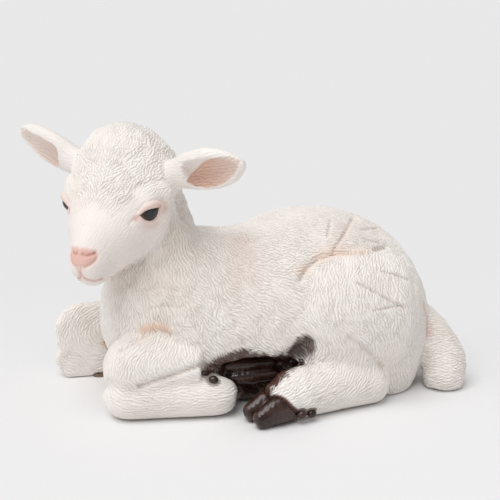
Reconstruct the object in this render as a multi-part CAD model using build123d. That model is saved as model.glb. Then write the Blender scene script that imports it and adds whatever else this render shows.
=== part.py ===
from build123d import *
from math import cos, radians, sin, sqrt
import os

# A reclining lamb ornament, in millimetres, +Z up. It lies along X with its chest towards -X
# and its left flank towards -Y. The origin is on the table, under the middle of the figure.
# Resin castings are glued together on a spigot, tenons, dowels and wire pins.

# Driving dimensions: torso and its underside
TORSO_LENGTH = 204.0
TORSO_HEIGHT = 110.0
TORSO_HALF_WIDTH = 53.0
BASE_HALF_LENGTH = 72.0
BASE_HALF_WIDTH = 26.0
BASE_THICKNESS = 4.0
FELT_RADIUS = 5.0
FELT_THICKNESS = 1.5
FELT_PROUD = 0.5
GLUE_GAP = 0.1
OVERRUN = 300.0

# Driving dimensions: neck and head
NECK_RISE = 68.0
NECK_LEAN = 21.0
NECK_SHIFT = 3.0
NECK_HALF_WIDTH = 31.0
NECK_HALF_DEPTH = 32.0
NECK_CUT_TILT = 23.0
SPIGOT_RADIUS = 17.0
SPIGOT_LENGTH = 14.0
HEAD_REACH = 22.7
HEAD_DROP = 7.0
HEAD_YAW = 51.0
HEAD_PITCH = 34.0
SKULL_HALF_WIDTH = 34.5
SKULL_HALF_HEIGHT = 33.0
SKULL_LENGTH = 54.0
FACE_LENGTH = 46.0
MUZZLE_DROP = 9.0
MUZZLE_TURN = 3.8

# Driving dimensions: eyes and ears
EYE_RADIUS = 7.5
EYE_BACK = 3.0
EYE_TURN = 50.0
EAR_LENGTH = 55.0
EAR_HALF_WIDTH = 13.5
EAR_HALF_THICKNESS = 7.0
EAR_BOWL_DEPTH = 9.0
EAR_ROLL = 30.0
LEFT_EAR_RISE = 12.0
RIGHT_EAR_RISE = 20.0
LEFT_EAR_SWEEP = -7.0
RIGHT_EAR_SWEEP = 4.0
EAR_TENON_RADIUS = 4.5
EAR_TENON_LENGTH = 8.0
PIN_RADIUS = 1.5
PIN_LENGTH = 20.0

# Driving dimensions: legs and their dowels
FORELEG_LENGTH = 54.0
FORELEG_HEIGHT = 48.5
FORELEG_HALF_WIDTH = 16.0
FORELEG_FLARE = 8.0
FORELEG_SEAT = 30.0
THIGH_LENGTH = 78.0
THIGH_HALF_HEIGHT = 41.0
THIGH_HALF_WIDTH = 26.0
SHANK_LENGTH = 59.5
SHANK_HALF_WIDTH = 14.0
SHANK_HALF_HEIGHT = 15.5
SHANK_FLARE = 17.0
HIND_LEG_SEAT = 36.0
DOWEL_RADIUS = 3.0
DOWEL_LENGTH = 14.0

# Driving dimensions: hooves and tail
TOE_LENGTH = 26.0
TOE_HALF_WIDTH = 6.5
TOE_HALF_HEIGHT = 9.5
FOLDED_TOE_LENGTH = 34.0
FOLDED_TOE_RADIUS = 4.4
TUCKED_TOE_LENGTH = 20.0
TUCKED_TOE_RADIUS = 4.5
POCKET_HALF_LENGTH = 34.0
POCKET_HALF_DEPTH = 15.0
POCKET_HALF_HEIGHT = 17.0
DEWCLAW_RADIUS = 2.6
TAIL_LENGTH = 42.0
TAIL_RADIUS = 13.5
TAIL_SWING = 24.0
TAIL_REACH = 13.0

# Places on the torso: shares of its length from the chest, half width (left is negative) and height
NECK_ROOT_SHARES = (0.200, 0.00, 0.53)
NECK_CUT_SHARES = (0.142, -0.04, 0.830)
LEFT_KNEE_SHARES = (-0.010, -0.70, 0.0)
RIGHT_KNEE_SHARES = (-0.132, 0.62, 0.0)
THIGH_SHARES = (0.711, 0.64, 0.475)
HOCK_SHARES = (0.768, 0.80, 0.115)
LEFT_POCKET_SHARES = (0.420, -0.89, 0.155)
RIGHT_POCKET_SHARES = (0.300, 0.89, 0.155)
TUCKED_HOOF_SHARES = (0.535, -0.74, 0.285)
TAIL_ROOT_SHARES = (0.955, -0.15, 0.365)
BASE_SHARES = (0.520, 0.00, 0.0)

# Stations along the torso: shares of its length, of its height (low, high) and of its half width
TORSO_STATION_SHARES = [
    (0.000, 0.36, 0.52, 0.08),
    (0.020, 0.25, 0.66, 0.36),
    (0.070, 0.12, 0.80, 0.62),
    (0.150, 0.02, 0.90, 0.80),
    (0.260, -0.06, 0.93, 0.89),
    (0.380, -0.08, 0.905, 0.94),
    (0.490, -0.08, 0.960, 0.98),
    (0.600, -0.08, 1.00, 1.00),
    (0.700, -0.08, 0.985, 1.00),
    (0.790, -0.18, 0.925, 0.96),
    (0.860, -0.22, 0.85, 0.88),
    (0.920, -0.10, 0.735, 0.70),
    (0.965, 0.06, 0.60, 0.46),
    (0.990, 0.16, 0.46, 0.22),
    (1.000, 0.25, 0.37, 0.06),
]
# Stations up the neck: shares of its rise, half width and half depth
NECK_STATION_SHARES = [(0.00, 1.10, 1.15), (0.33, 1.02, 1.02), (0.66, 0.93, 0.92), (1.00, 0.84, 0.84)]
# Stations from the back of the skull to the eyes: shares of its length, half width, half height, drop
SKULL_STATION_SHARES = [
    (-1.00, 0.08, 0.08, 0.40),
    (-0.97, 0.28, 0.34, 0.40),
    (-0.89, 0.50, 0.62, 0.38),
    (-0.75, 0.74, 0.91, 0.34),
    (-0.53, 0.94, 1.04, 0.34),
    (-0.27, 0.98, 0.93, 0.60),
    (0.00, 0.88, 0.76, 1.00),
]
# Stations from the eyes to the nose: the same shares, of the face's length
FACE_STATION_SHARES = [
    (0.30, 0.68, 0.64, 1.10),
    (0.58, 0.45, 0.52, 1.10),
    (0.80, 0.33, 0.41, 1.10),
    (0.93, 0.25, 0.29, 1.05),
    (0.99, 0.12, 0.14, 1.00),
    (1.00, 0.05, 0.05, 1.00),
]
# An eye's middle: shares of the face's length and the skull's half width
EYE_SHARES = (-0.05, 0.70)
# An ear's root: shares of the skull's length, half width and half height
EAR_ROOT_SHARES = (-0.34, 0.78, 0.53)
# Stations along an ear: shares of its length, half width and half thickness
EAR_STATION_SHARES = [
    (0.00, 0.52, 1.00),
    (0.16, 0.68, 1.00),
    (0.40, 0.95, 1.00),
    (0.62, 1.00, 0.90),
    (0.80, 0.80, 0.70),
    (0.92, 0.48, 0.50),
    (0.98, 0.22, 0.30),
    (1.00, 0.06, 0.10),
]
# An ear's bowl: the share of the length where it starts, and shares of its width and depth
BOWL_START_SHARE = 0.30
BOWL_WIDTH_SHARE = 0.74
BOWL_FORWARD_SHARE = 0.80
BOWL_DOME_SHARE = 0.10
# Stations of a forearm and a folded cannon: shares of length, flare, height, half width, half height
FOREARM_SHARES = [(0.30, 0.0, 0.60, 0.95, 0.39), (0.62, 0.0, 0.61, 1.0, 0.39), (1.00, 0.0, 0.58, 0.95, 0.36)]
CANNON_SHARES = [
    (0.28, 0.0, 0.265, 0.95, 0.29),
    (0.60, 0.2, 0.265, 0.95, 0.29),
    (1.00, 0.7, 0.250, 0.84, 0.26),
    (1.24, 1.0, 0.230, 0.70, 0.23),
]
KNEE_DOME_SHARE = 0.30
CANNON_DOME_SHARE = 0.15
# Stations of a thigh, front to back: shares of its length, half width and half height
THIGH_STATION_SHARES = [(-0.30, 0.90, 0.86), (0.00, 1.00, 1.00), (0.28, 0.90, 0.90)]
THIGH_DOME_SHARE = 0.21
# Stations of a shank, hock to pastern: shares of its length, flare, lift, half width and half height
SHANK_STATION_SHARES = [
    (0.00, 0.00, 0.0, 0.95, 0.90),
    (0.46, 0.42, 0.1, 1.00, 0.98),
    (0.84, 0.82, 0.1, 0.98, 0.98),
    (1.00, 1.00, 0.0, 0.90, 0.84),
]
TUCKED_SHANK_SHARES = [
    (0.00, 0.0, 0.0, 0.95, 0.90),
    (0.26, -0.1, 0.0, 0.95, 0.90),
    (0.52, -0.35, 0.0, 0.90, 0.86),
]
SHANK_DOME_SHARE = 0.13
# Stations of a toe, coronet to tip: shares of its length, drop, half width and half height
TOE_STATION_SHARES = [(0.00, 0.0, 0.95, 0.95), (0.45, 0.1, 1.00, 0.88), (0.82, 0.4, 0.75, 0.58)]
TOE_DOME_SHARE = 0.18
TOE_SPREAD_SHARE = 0.88
TOE_SINK_SHARE = 0.14
# A folded hoof's toes in their pocket: shares of its half length, half depth and half height
FOLDED_TOE_SHARES = ((-0.58, 0.66, 0.52), (-0.50, 0.56, 0.12))
TUCKED_TOE_SHARES = ((0.00, 0.00, 0.90), (-0.25, -0.10, -0.90))
# Stations of a folded toe: shares of its length and radius
FOLDED_TOE_STATION_SHARES = [(0.12, 0.85), (0.45, 1.00), (0.80, 0.80)]
FOLDED_TOE_DOME_SHARE = 0.18
# Dewclaws: shares of a cannon's stretch, and of the leg's half sizes out and up
FORE_DEWCLAW_SHARES = ((1.05, 0.08, 1.00), (1.13, 0.50, 0.84))
HIND_DEWCLAW_SHARES = ((0.86, 0.92, -0.42), (0.75, 0.90, -0.48))
DEWCLAW_LENGTH_SHARE = 1.2
# Stations of the tail: shares of its length down, reach, swing and radius
TAIL_STATION_SHARES = [
    (0.00, 0.10, 0.00, 0.72),
    (0.25, 0.62, 0.35, 0.92),
    (0.55, 1.00, 0.75, 1.00),
    (0.80, 0.85, 1.00, 0.95),
]
TAIL_DOME_SHARE = 0.25
# Dowels: shares along a leg's length and up its height. Felts: shares along a leg's stretch
FORE_DOWEL_SHARES = ((0.62, 0.45), (0.88, 0.70))
HIND_DOWEL_SHARES = ((-0.22, 0.0), (0.22, 0.1))
FORE_FELT_SHARE = 0.50
HIND_FELT_SHARE = 0.40
TUCKED_FELT_SHARE = 0.05
# How a rounded end closes, in degrees, a pod's straight share, and a limb's count of rings
DOME_ANGLES = (20, 40, 60, 80)
POD_CORE_SHARE = 0.05
RING_COUNT = 12

UP = Vector(0, 0, 1)
LENGTHWISE = Vector(1, 0, 0)
SIDEWAYS = Vector(0, 1, 0)
MIDDLE_LOW = (Align.CENTER, Align.CENTER, Align.MIN)
MIDDLE_HIGH = (Align.CENTER, Align.CENTER, Align.MAX)
LEFT, RIGHT = -1, 1


def on_torso(along, out, high):
    """A place given as shares of the torso's length, half width and height."""
    return Vector((along - 0.5) * TORSO_LENGTH, out * TORSO_HALF_WIDTH, high * TORSO_HEIGHT)


def ellipse_at(centre, axis, across, half_across, half_up):
    """A filled ellipse square to axis, with its first half size along across."""
    across = (across - axis * across.dot(axis)).normalized()
    return Plane(origin=centre, x_dir=across, z_dir=axis) * Ellipse(half_across, half_up)


def even_rings(rings):
    """The same limb as RING_COUNT rings, spaced evenly over its surface so that its loft stays fair."""
    reach = [0.0]
    for (p, p_wide, p_tall), (q, q_wide, q_tall) in zip(rings, rings[1:]):
        growth = (q_wide + q_tall - p_wide - p_tall) / 2
        reach.append(reach[-1] + sqrt((q - p).length ** 2 + growth**2))
    even = []
    for k in range(RING_COUNT):
        target = reach[-1] * k / (RING_COUNT - 1)
        i = max(j for j in range(len(rings) - 1) if reach[j] <= target)
        t = (target - reach[i]) / (reach[i + 1] - reach[i])
        even.append(tuple(u + (v - u) * t for u, v in zip(rings[i], rings[i + 1])))
    return even


def limb(points, halves, across, start_dome=0.0, end_dome=0.0):
    """A smooth solid through elliptical stations. A dome rounds an end off over its length."""
    rings = [(point, *half) for point, half in zip(points, halves)]
    start, first = points[0], halves[0]
    end, final = points[-1], halves[-1]
    backward = (points[0] - points[1]).normalized()
    forward = (points[-1] - points[-2]).normalized()
    for angle in DOME_ANGLES:
        rise, close = sin(radians(angle)), cos(radians(angle))
        if start_dome:
            rings.insert(0, (start + backward * start_dome * rise, first[0] * close, first[1] * close))
        if end_dome:
            rings.append((end + forward * end_dome * rise, final[0] * close, final[1] * close))
    rings = even_rings(rings)
    faces = []
    for i, (centre, wide, tall) in enumerate(rings):
        axis = rings[min(i + 1, RING_COUNT - 1)][0] - rings[max(i - 1, 0)][0]
        faces.append(ellipse_at(centre, axis.normalized(), across, wide, tall))
    return loft(faces)


def pod(middle, half_length, half_width, half_height):
    """A rounded pod lying along X."""
    core = LENGTHWISE * half_length * POD_CORE_SHARE
    dome = half_length * (1 - POD_CORE_SHARE)
    halves = (half_width, half_height)
    return limb([middle - core, middle + core], [halves, halves], SIDEWAYS, dome, dome)


def rod(centre, axis, radius, length):
    """A round bar of that length, with its middle at centre."""
    return Plane(origin=centre, z_dir=axis) * Cylinder(radius, length)


def ground(shape):
    """The shape above the plane that the castings are ground flat to."""
    return shape - Pos(0, 0, FELT_PROUD) * Box(2 * OVERRUN, 2 * OVERRUN, OVERRUN, align=MIDDLE_HIGH)


def outside(shape, side, seat):
    """The shape beyond a flat seat, at that distance from the middle plane on that side."""
    align = (Align.CENTER, Align.MIN if side > 0 else Align.MAX, Align.CENTER)
    return shape & Pos(0, side * seat, 0) * Box(2 * OVERRUN, OVERRUN, 2 * OVERRUN, align=align)


# Torso and neck


def barrel():
    rings = []
    for along, low, high, half_width in TORSO_STATION_SHARES:
        centre = on_torso(along, 0, (low + high) / 2)
        half_height = (high - low) / 2 * TORSO_HEIGHT
        rings.append(ellipse_at(centre, LENGTHWISE, SIDEWAYS, half_width * TORSO_HALF_WIDTH, half_height))
    return loft(rings)


neck_root = on_torso(*NECK_ROOT_SHARES)
neck_top = neck_root + Vector(-NECK_LEAN, -NECK_SHIFT, NECK_RISE)
neck = limb(
    [neck_root + (neck_top - neck_root) * high for high, _, _ in NECK_STATION_SHARES],
    [(w * NECK_HALF_WIDTH, d * NECK_HALF_DEPTH) for _, w, d in NECK_STATION_SHARES],
    SIDEWAYS,
)
body = barrel() + neck
neck_cut = on_torso(*NECK_CUT_SHARES)
neck_axis = Vector(-sin(radians(NECK_CUT_TILT)), 0, cos(radians(NECK_CUT_TILT)))
above_neck = Plane(origin=neck_cut, x_dir=SIDEWAYS, z_dir=neck_axis) * Box(
    2 * OVERRUN, 2 * OVERRUN, OVERRUN, align=MIDDLE_LOW
)
torso = ground(body - above_neck)

# Head, on its spigot

yaw = radians(HEAD_YAW)
pitch = radians(HEAD_PITCH)
head_level = Vector(-cos(yaw), -sin(yaw), 0)
head_left = Vector(sin(yaw), -cos(yaw), 0)
face_axis = head_level * cos(pitch) - UP * sin(pitch)
face_normal = head_level * sin(pitch) + UP * cos(pitch)
eye_middle = neck_top + head_level * HEAD_REACH - UP * HEAD_DROP


def in_head(along, drop):
    """A place down the face, which turns a little to the left towards the nose."""
    turn = (max(along, 0) / FACE_LENGTH) ** 2
    return eye_middle + face_axis * along - face_normal * drop * MUZZLE_DROP + head_left * turn * MUZZLE_TURN


def head_side(side):
    return head_left if side == LEFT else -head_left


def head_form():
    rings = []
    for shares, length in ((SKULL_STATION_SHARES, SKULL_LENGTH), (FACE_STATION_SHARES, FACE_LENGTH)):
        for along, wide, high, drop in shares:
            halves = (wide * SKULL_HALF_WIDTH, high * SKULL_HALF_HEIGHT)
            rings.append(ellipse_at(in_head(along * length, drop), face_axis, head_left, *halves))
    return loft(rings)


head_outside = (body & above_neck) + head_form()
spigot_length = SPIGOT_LENGTH - GLUE_GAP
spigot = rod(neck_cut - neck_axis * spigot_length / 2, neck_axis, SPIGOT_RADIUS, spigot_length)
socket = rod(neck_cut - neck_axis * SPIGOT_LENGTH / 2, neck_axis, SPIGOT_RADIUS + GLUE_GAP, SPIGOT_LENGTH)
head = head_outside + spigot
torso -= socket

# Eyes: glass domes with flat backs, in matching sockets


def eye(side, gap):
    ahead, out = EYE_SHARES
    centre = in_head(ahead * FACE_LENGTH, 0) + head_side(side) * out * SKULL_HALF_WIDTH
    turn = radians(EYE_TURN)
    look = head_level * cos(turn) + head_side(side) * sin(turn)
    back = Plane(origin=centre - look * (EYE_BACK + gap), z_dir=look)
    front = back * Box(OVERRUN, OVERRUN, OVERRUN, align=MIDDLE_LOW)
    return (Pos(centre) * Sphere(EYE_RADIUS + gap)) & front


pieces = {}
for name, side in (("left_eye", LEFT), ("right_eye", RIGHT)):
    pieces[name] = eye(side, 0)
    head -= eye(side, GLUE_GAP)

# Ears: scooped leaves, each on a tenon with a wire pin through it


def ear_leaf(root, axis):
    """A leaf along axis, its upper edge rolled forward, with a bowl scooped out of its front."""
    upward = (UP - axis * UP.dot(axis)).normalized()
    onward = (head_level - axis * head_level.dot(axis) - upward * head_level.dot(upward)).normalized()
    roll = radians(EAR_ROLL)
    across = upward * cos(roll) + onward * sin(roll)
    ahead = onward * cos(roll) - upward * sin(roll)
    leaf = limb(
        [root + axis * along * EAR_LENGTH for along, _, _ in EAR_STATION_SHARES],
        [(w * EAR_HALF_WIDTH, t * EAR_HALF_THICKNESS) for _, w, t in EAR_STATION_SHARES],
        across,
    )
    stations = [station for station in EAR_STATION_SHARES if station[0] > BOWL_START_SHARE]
    forward = ahead * BOWL_FORWARD_SHARE * EAR_BOWL_DEPTH
    bowl = limb(
        [root + axis * along * EAR_LENGTH + forward for along, _, _ in stations],
        [(w * BOWL_WIDTH_SHARE * EAR_HALF_WIDTH, t * EAR_BOWL_DEPTH) for _, w, t in stations],
        across,
        start_dome=BOWL_DOME_SHARE * EAR_LENGTH,
    )
    return leaf - bowl


ear_pins = []
for name, side, rise, sweep in (
    ("left_ear", LEFT, LEFT_EAR_RISE, LEFT_EAR_SWEEP),
    ("right_ear", RIGHT, RIGHT_EAR_RISE, RIGHT_EAR_SWEEP),
):
    along, out, high = EAR_ROOT_SHARES
    root = eye_middle + head_level * along * SKULL_LENGTH + UP * high * SKULL_HALF_HEIGHT
    root += head_side(side) * out * SKULL_HALF_WIDTH
    axis = (head_side(side) * EAR_LENGTH - head_level * sweep + UP * rise).normalized()
    tenon = rod(root, axis, EAR_TENON_RADIUS, 2 * EAR_TENON_LENGTH)
    mortise = rod(root, axis, EAR_TENON_RADIUS + GLUE_GAP, 2 * (EAR_TENON_LENGTH + GLUE_GAP))
    pin_hole = rod(root, axis, PIN_RADIUS + GLUE_GAP, PIN_LENGTH + 2 * GLUE_GAP)
    leaf = ear_leaf(root, axis) - head_outside
    pieces[name] = leaf + (tenon & head_outside) - pin_hole
    head -= mortise & head_outside
    head -= pin_hole
    ear_pins.append(rod(root, axis, PIN_RADIUS, PIN_LENGTH))
pieces["ear_pins"] = Compound(children=ear_pins)
pieces["head"] = head

# Legs, each on a flat seat in the torso


def foreleg_place(side, knee, along, flare, high):
    return knee + Vector(along * FORELEG_LENGTH, side * flare * FORELEG_FLARE, high * FORELEG_HEIGHT)


def foreleg(side, knee):
    halves = []
    for shares, dome in ((FOREARM_SHARES, 0), (CANNON_SHARES, CANNON_DOME_SHARE)):
        halves.append(
            limb(
                [foreleg_place(side, knee, a, f, h) for a, f, h, _, _ in shares],
                [(w * FORELEG_HALF_WIDTH, u * FORELEG_HEIGHT) for _, _, _, w, u in shares],
                SIDEWAYS,
                KNEE_DOME_SHARE * FORELEG_LENGTH,
                dome * FORELEG_LENGTH,
            )
        )
    return outside(ground(halves[0] + halves[1]), side, FORELEG_SEAT)


def thigh_middle(side):
    along, out, high = THIGH_SHARES
    return on_torso(along, side * out, high)


def shank_place(side, along, flare, lift):
    hock_along, hock_out, hock_high = HOCK_SHARES
    hock = on_torso(hock_along, side * hock_out, hock_high)
    return hock + Vector(-along * SHANK_LENGTH, side * flare * SHANK_FLARE, lift * SHANK_HALF_HEIGHT)


def hind_leg(side, shank_shares, end_dome):
    thigh = limb(
        [thigh_middle(side) + LENGTHWISE * along * THIGH_LENGTH for along, _, _ in THIGH_STATION_SHARES],
        [(w * THIGH_HALF_WIDTH, h * THIGH_HALF_HEIGHT) for _, w, h in THIGH_STATION_SHARES],
        SIDEWAYS,
        THIGH_DOME_SHARE * THIGH_LENGTH,
        THIGH_DOME_SHARE * THIGH_LENGTH,
    )
    shank = limb(
        [shank_place(side, a, f, h) for a, f, h, _, _ in shank_shares],
        [(w * SHANK_HALF_WIDTH, u * SHANK_HALF_HEIGHT) for _, _, _, w, u in shank_shares],
        SIDEWAYS,
        SHANK_DOME_SHARE * SHANK_LENGTH,
        end_dome * SHANK_LENGTH,
    )
    return outside(ground(thigh + shank), side, HIND_LEG_SEAT)


left_knee = on_torso(*LEFT_KNEE_SHARES)
right_knee = on_torso(*RIGHT_KNEE_SHARES)
legs = {
    "left_foreleg": foreleg(LEFT, left_knee),
    "right_foreleg": foreleg(RIGHT, right_knee),
    "left_hind_leg": hind_leg(LEFT, SHANK_STATION_SHARES, SHANK_DOME_SHARE),
    "right_hind_leg": hind_leg(RIGHT, TUCKED_SHANK_SHARES, SHANK_DOME_SHARE),
}

# Hooves: cloven pairs of toes, the folded ones lying in pockets under the flanks


def pocket_place(side, shares, along, deep, high):
    centre = on_torso(*shares)
    inward = -side * deep * POCKET_HALF_DEPTH
    return centre + Vector(along * POCKET_HALF_LENGTH, inward, high * POCKET_HALF_HEIGHT)


def pocket(shares):
    return pod(on_torso(*shares), POCKET_HALF_LENGTH, POCKET_HALF_DEPTH, POCKET_HALF_HEIGHT)


def folded_toe(start, length, radius):
    stations = FOLDED_TOE_STATION_SHARES
    return limb(
        [start + LENGTHWISE * along * length for along, _ in stations],
        [(share * radius, share * radius) for _, share in stations],
        SIDEWAYS,
        FOLDED_TOE_DOME_SHARE * length / 2,
        FOLDED_TOE_DOME_SHARE * length,
    )


def folded_hoof(side, shares):
    first, second = (
        folded_toe(pocket_place(side, shares, *place), FOLDED_TOE_LENGTH, FOLDED_TOE_RADIUS)
        for place in FOLDED_TOE_SHARES
    )
    return first + second


def tucked_hoof():
    toes = []
    for along, out, high in TUCKED_TOE_SHARES:
        offset = Vector(along * TUCKED_TOE_LENGTH, out * TUCKED_TOE_RADIUS, high * TUCKED_TOE_RADIUS)
        start = on_torso(*TUCKED_HOOF_SHARES) + offset
        toes.append(folded_toe(start, TUCKED_TOE_LENGTH, TUCKED_TOE_RADIUS))
    return toes[0] + toes[1]


def standing_hoof(side):
    """Two toes side by side that run on from the shank."""
    pastern = shank_place(side, *SHANK_STATION_SHARES[-1][:3])
    axis = pastern - shank_place(side, *SHANK_STATION_SHARES[-2][:3])
    axis = Vector(axis.X, axis.Y, 0).normalized()
    across = axis.cross(UP).normalized()
    toes = []
    for hand in (LEFT, RIGHT):
        start = pastern + across * hand * TOE_SPREAD_SHARE * TOE_HALF_WIDTH
        start = Vector(start.X, start.Y, TOE_HALF_HEIGHT) - axis * TOE_SINK_SHARE * TOE_LENGTH
        stations = TOE_STATION_SHARES
        toes.append(
            limb(
                [start + axis * a * TOE_LENGTH - UP * d * TOE_HALF_HEIGHT for a, d, _, _ in stations],
                [(w * TOE_HALF_WIDTH, h * TOE_HALF_HEIGHT) for _, _, w, h in stations],
                across,
                end_dome=TOE_DOME_SHARE * TOE_LENGTH,
            )
        )
    return ground(toes[0] + toes[1])


torso -= pocket(LEFT_POCKET_SHARES)
torso -= pocket(RIGHT_POCKET_SHARES)
hooves = (
    ("left_fore_hoof", folded_hoof(LEFT, LEFT_POCKET_SHARES), ("left_foreleg", "left_hind_leg")),
    ("right_fore_hoof", folded_hoof(RIGHT, RIGHT_POCKET_SHARES), ("right_foreleg", "right_hind_leg")),
    ("left_hind_hoof", standing_hoof(LEFT), ("left_hind_leg",)),
    ("right_hind_hoof", tucked_hoof(), ("left_hind_leg",)),
)
for leg in legs.values():
    torso -= leg
for name, hoof, neighbours in hooves:
    hoof -= torso
    for leg in neighbours:
        hoof -= legs[leg]
    pieces[name] = hoof
pieces["right_hind_hoof"] -= pieces["left_fore_hoof"]

# Dewclaws on the shown legs


def dewclaw(place):
    return pod(place, DEWCLAW_LENGTH_SHARE * DEWCLAW_RADIUS, DEWCLAW_RADIUS, DEWCLAW_RADIUS)


dewclaws = []
for side, knee, leg in ((LEFT, left_knee, "left_foreleg"), (RIGHT, right_knee, "right_foreleg")):
    for along, out, high in FORE_DEWCLAW_SHARES:
        flare, up, wide, tall = CANNON_SHARES[2][1:]
        place = foreleg_place(side, knee, along, flare, up + high * tall)
        place += Vector(0, side * out * wide * FORELEG_HALF_WIDTH, 0)
        dewclaws.append(dewclaw(place) - legs[leg] - torso)
for along, out, high in HIND_DEWCLAW_SHARES:
    place = shank_place(LEFT, along, along, high)
    place += Vector(0, LEFT * out * SHANK_HALF_WIDTH, 0)
    dewclaws.append(dewclaw(place) - legs["left_hind_leg"] - pieces["left_hind_hoof"])

# Tail, on a wire pin

tail_root = on_torso(*TAIL_ROOT_SHARES)
tail_points = [
    tail_root + Vector(reach * TAIL_REACH, -swing * TAIL_SWING, -down * TAIL_LENGTH)
    for down, reach, swing, _ in TAIL_STATION_SHARES
]
tail = limb(
    tail_points,
    [(r * TAIL_RADIUS, r * TAIL_RADIUS) for _, _, _, r in TAIL_STATION_SHARES],
    SIDEWAYS,
    TAIL_DOME_SHARE * TAIL_LENGTH,
    TAIL_DOME_SHARE * TAIL_LENGTH,
)
tail = ground(tail) - torso - legs["left_hind_leg"]
tail_pin = rod(tail_points[1], LENGTHWISE, PIN_RADIUS, PIN_LENGTH)
tail_pin_hole = rod(tail_points[1], LENGTHWISE, PIN_RADIUS + GLUE_GAP, PIN_LENGTH + 2 * GLUE_GAP)
pieces["tail"] = tail - tail_pin_hole
pieces["tail_pin"] = tail_pin
torso -= tail_pin_hole

# Leg dowels across the seats, and felts let into the feet

dowel_places = []
felt_places = []
for leg, side, knee in (("left_foreleg", LEFT, left_knee), ("right_foreleg", RIGHT, right_knee)):
    for along, high in FORE_DOWEL_SHARES:
        place = foreleg_place(side, knee, along, 0, high)
        dowel_places.append((leg, Vector(place.X, side * FORELEG_SEAT, place.Z)))
    felt_places.append((leg, foreleg_place(side, knee, FORE_FELT_SHARE, 0, 0)))
for leg, side, along, flare in (
    ("left_hind_leg", LEFT, HIND_FELT_SHARE, HIND_FELT_SHARE),
    ("right_hind_leg", RIGHT, TUCKED_FELT_SHARE, 0),
):
    for ahead, high in HIND_DOWEL_SHARES:
        place = thigh_middle(side) + Vector(ahead * THIGH_LENGTH, 0, high * THIGH_HALF_HEIGHT)
        dowel_places.append((leg, Vector(place.X, side * HIND_LEG_SEAT, place.Z)))
    felt_places.append((leg, shank_place(side, along, flare, 0)))

dowels = []
for leg, place in dowel_places:
    hole = rod(place, SIDEWAYS, DOWEL_RADIUS + GLUE_GAP, DOWEL_LENGTH + 2 * GLUE_GAP)
    legs[leg] -= hole
    torso -= hole
    dowels.append(rod(place, SIDEWAYS, DOWEL_RADIUS, DOWEL_LENGTH))
felts = []
for leg, place in felt_places:
    foot = Pos(place.X, place.Y, 0)
    legs[leg] -= foot * Cylinder(FELT_RADIUS + GLUE_GAP, FELT_THICKNESS, align=MIDDLE_LOW)
    felts.append(foot * Cylinder(FELT_RADIUS, FELT_THICKNESS, align=MIDDLE_LOW))
pieces["leg_dowels"] = Compound(children=dowels)
pieces["felt_pads"] = Compound(children=felts)
pieces["dewclaws"] = Compound(children=dewclaws)
pieces.update(legs)

# Base plate, let into the underside


def base_outline(margin):
    middle = on_torso(*BASE_SHARES) + UP * FELT_PROUD
    return Pos(middle) * Ellipse(BASE_HALF_LENGTH + margin, BASE_HALF_WIDTH + margin)


torso -= extrude(base_outline(GLUE_GAP), BASE_THICKNESS + GLUE_GAP)
pieces["base_plate"] = extrude(base_outline(0), BASE_THICKNESS)
pieces["torso"] = torso

# The origin goes under the middle of the figure
box = Compound([solid for piece in pieces.values() for solid in piece.solids()]).bounding_box()
to_origin = Pos(-box.center().X, -box.center().Y, -box.min.Z)
os.makedirs("parts", exist_ok=True)
for name, piece in pieces.items():
    export_step(to_origin * piece, f"parts/{name}.step")
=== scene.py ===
import math

import bmesh
import bpy
import numpy as np
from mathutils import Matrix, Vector
from mathutils.bvhtree import BVHTree


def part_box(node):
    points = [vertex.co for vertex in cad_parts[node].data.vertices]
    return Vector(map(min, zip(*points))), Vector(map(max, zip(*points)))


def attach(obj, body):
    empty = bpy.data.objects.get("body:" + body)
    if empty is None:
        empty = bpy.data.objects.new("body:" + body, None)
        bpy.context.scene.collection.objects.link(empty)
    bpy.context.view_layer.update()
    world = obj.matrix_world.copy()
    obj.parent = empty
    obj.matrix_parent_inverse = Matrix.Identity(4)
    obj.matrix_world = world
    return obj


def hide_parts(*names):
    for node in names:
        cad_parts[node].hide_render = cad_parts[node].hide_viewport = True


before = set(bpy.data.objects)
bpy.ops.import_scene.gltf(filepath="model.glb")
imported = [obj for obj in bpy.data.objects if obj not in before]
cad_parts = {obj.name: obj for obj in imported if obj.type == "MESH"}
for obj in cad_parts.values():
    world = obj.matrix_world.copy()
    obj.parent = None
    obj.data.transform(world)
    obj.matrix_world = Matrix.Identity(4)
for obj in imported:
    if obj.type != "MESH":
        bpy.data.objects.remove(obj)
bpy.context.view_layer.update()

# The lamb is sculpted from copies of its castings in one clay, combed, painted and parted again
# into one piece for each casting. Arrays are in millimetres, meshes in metres.
MM = 0.001
RANDOM_SEED = 41

# Places are kept from the middle of the base plate, on the floor
BASE_LOW, BASE_HIGH = [np.array(corner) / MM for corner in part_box("base_plate")]
BASE_MIDDLE = (BASE_LOW + BASE_HIGH) / 2 * (1, 1, 0)

# The photograph's view
VIEW_TARGET = Vector((BASE_MIDDLE + (-11.08, 20.0, 80.0)) * MM)
VIEW_AZIMUTH = math.radians(-12)
VIEW_ELEVATION = math.radians(14)
VIEW_DISTANCE = 0.644
IMAGE_SIDE = 500
FOCAL_PIXELS = 1030.4
SENSOR_WIDTH = 36.0

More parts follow.
